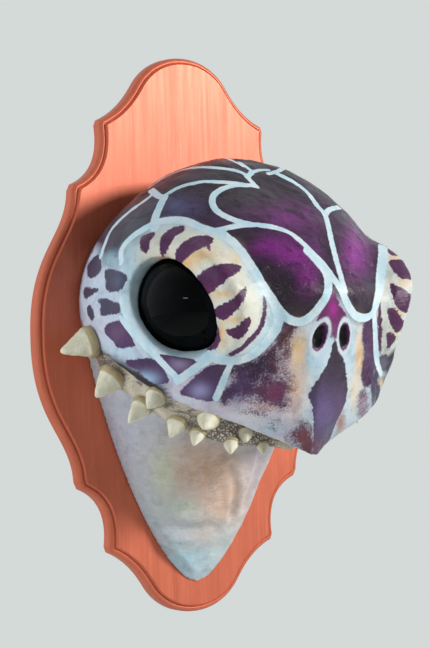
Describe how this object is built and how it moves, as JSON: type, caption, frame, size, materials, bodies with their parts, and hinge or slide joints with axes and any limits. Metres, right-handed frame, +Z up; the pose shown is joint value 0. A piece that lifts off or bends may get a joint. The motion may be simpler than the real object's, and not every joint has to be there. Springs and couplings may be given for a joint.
{
  "type": "papier-mache turtle head on a wall plaque",
  "caption": "Painted papier-mache turtle head with a hooked beak, padded brows, glossy ball eyes and clay cone teeth, fixed to a moulded wooden wall plaque.",
  "frame": {"origin": "centre of the plaque's flat back face, where it lies against the wall", "axes": "+Y into the wall, +Z up along the plaque's height, +X to the right of someone who faces the wall; the head looks out along -Y"},
  "size_m": [0.318, 0.2321, 0.501],
  "materials": {
    "copper_paint": "satin copper paint brushed along the wood's grain",
    "painted_paper": "acrylic-painted papier-mache under a satin varnish, purple scutes between pale blue lines",
    "black_glass": "high-gloss black",
    "baked_clay": "cream clay with a yellow glue line"
  },
  "bodies": {
    "root": {"plaque": "copper_paint", "head": "painted_paper", "eye_right": "black_glass", "eye_left": "black_glass", "tooth_right_1": "baked_clay", "tooth_right_2": "baked_clay", "tooth_right_3": "baked_clay", "tooth_right_4": "baked_clay", "tooth_right_5": "baked_clay", "tooth_right_6": "baked_clay", "tooth_right_7": "baked_clay", "tooth_right_8": "baked_clay", "tooth_right_9": "baked_clay", "tooth_right_10": "baked_clay", "tooth_left_1": "baked_clay", "tooth_left_2": "baked_clay", "tooth_left_3": "baked_clay", "tooth_left_4": "baked_clay"}
  },
  "joints": []
}
